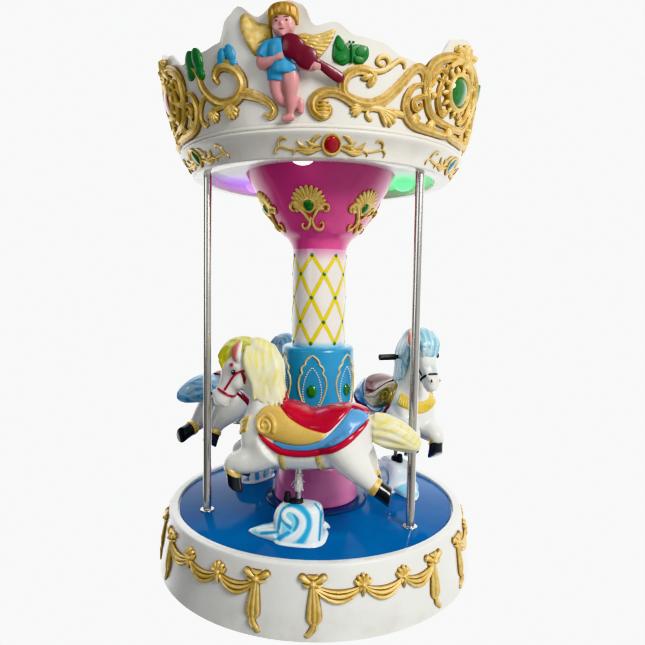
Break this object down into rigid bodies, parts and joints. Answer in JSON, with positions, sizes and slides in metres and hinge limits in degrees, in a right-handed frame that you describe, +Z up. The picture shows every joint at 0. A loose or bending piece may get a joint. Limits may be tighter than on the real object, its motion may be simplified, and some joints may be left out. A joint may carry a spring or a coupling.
{
  "type": "fairground carousel with three lifting horses",
  "caption": "Small indoor fairground carousel: round base with garlands, turning floor with wave mounts and rising horses, central column, poles and a flared ornamental crown.",
  "frame": {"origin": "centre of the base on the ground", "axes": "+Z up along the turntable's axis; -Y is the front, where the picture was taken from"},
  "size_m": [1.5009, 1.5456, 2.314],
  "materials": {
    "skirt_white": "glossy white fibreglass",
    "crown_white": "glossy off-white fibreglass",
    "shaft_white": "glossy white fibreglass with a yellow lattice and green dots",
    "gold": "metallic gold paint on fibreglass relief",
    "chassis_steel": "satin grey paint",
    "floor_blue": "very glossy blue fibreglass",
    "hub_navy": "very glossy dark navy",
    "bell_pink": "glossy pink fibreglass",
    "drum_blue": "glossy blue fibreglass with gold line frames",
    "funnel_magenta": "glossy magenta fibreglass with gold shells",
    "polished_steel": "polished stainless steel",
    "cherub_paint": "painted fibreglass figure, satin",
    "lamp_lens": "diffusing lamp lens, lit",
    "wave_blue": "glossy white and light-blue swirls",
    "black_rubber": "matt black rubber",
    "horse_paint": "glossy painted fibreglass with an airbrushed mane",
    "white_wrap": "torn white protective wrap"
  },
  "bodies": {
    "base": {"skirt": "skirt_white", "chassis": "chassis_steel", "garland_1": "gold", "garland_2": "gold", "garland_3": "gold", "garland_4": "gold", "garland_5": "gold", "garland_6": "gold"},
    "turntable": {"floor_disc": "floor_blue", "hub_disc": "hub_navy", "bell": "bell_pink", "drum": "drum_blue", "shaft": "shaft_white", "funnel": "funnel_magenta", "pole_1": "polished_steel", "pole_2": "polished_steel", "pole_3": "polished_steel", "crown_ceiling": "crown_white", "crown_band": "crown_white", "crown_wall_1": "crown_white", "crown_wall_2": "crown_white", "crown_wall_3": "crown_white", "crown_wall_4": "crown_white", "crown_wall_5": "crown_white", "crown_wall_6": "crown_white", "cherub_1": "cherub_paint", "cherub_2": "cherub_paint", "cherub_3": "cherub_paint", "medallion_1": "gold", "medallion_2": "gold", "medallion_3": "gold", "lamp_1": "lamp_lens", "lamp_2": "lamp_lens", "lamp_3": "lamp_lens", "wave_1": "wave_blue", "wave_2": "wave_blue", "wave_3": "wave_blue", "gland_1": "black_rubber", "gland_2": "black_rubber", "gland_3": "black_rubber"},
    "horse_lift_1": {"horse_1": "horse_paint", "rod_1": "polished_steel", "rod_wrap_1": "white_wrap"},
    "horse_lift_2": {"horse_2": "horse_paint", "rod_2": "polished_steel", "handlebar_2": "black_rubber"},
    "horse_lift_3": {"horse_3": "horse_paint", "rod_3": "polished_steel", "handlebar_3": "black_rubber"}
  },
  "joints": [
    {"name": "platform_spin", "type": "hinge", "parent": "base", "child": "turntable", "pos_m": [0, 0, 0.243], "axis": [0, 0, 1], "continuous": true},
    {"name": "horse_1_lift", "type": "slide", "parent": "turntable", "child": "horse_lift_1", "axis": [0, 0, 1], "range_m": [-0.05, 0.05], "deforming": ["rod_wrap_1"]},
    {"name": "horse_2_lift", "type": "slide", "parent": "turntable", "child": "horse_lift_2", "axis": [0, 0, 1], "range_m": [-0.05, 0.05]},
    {"name": "horse_3_lift", "type": "slide", "parent": "turntable", "child": "horse_lift_3", "axis": [0, 0, 1], "range_m": [-0.05, 0.05]}
  ]
}
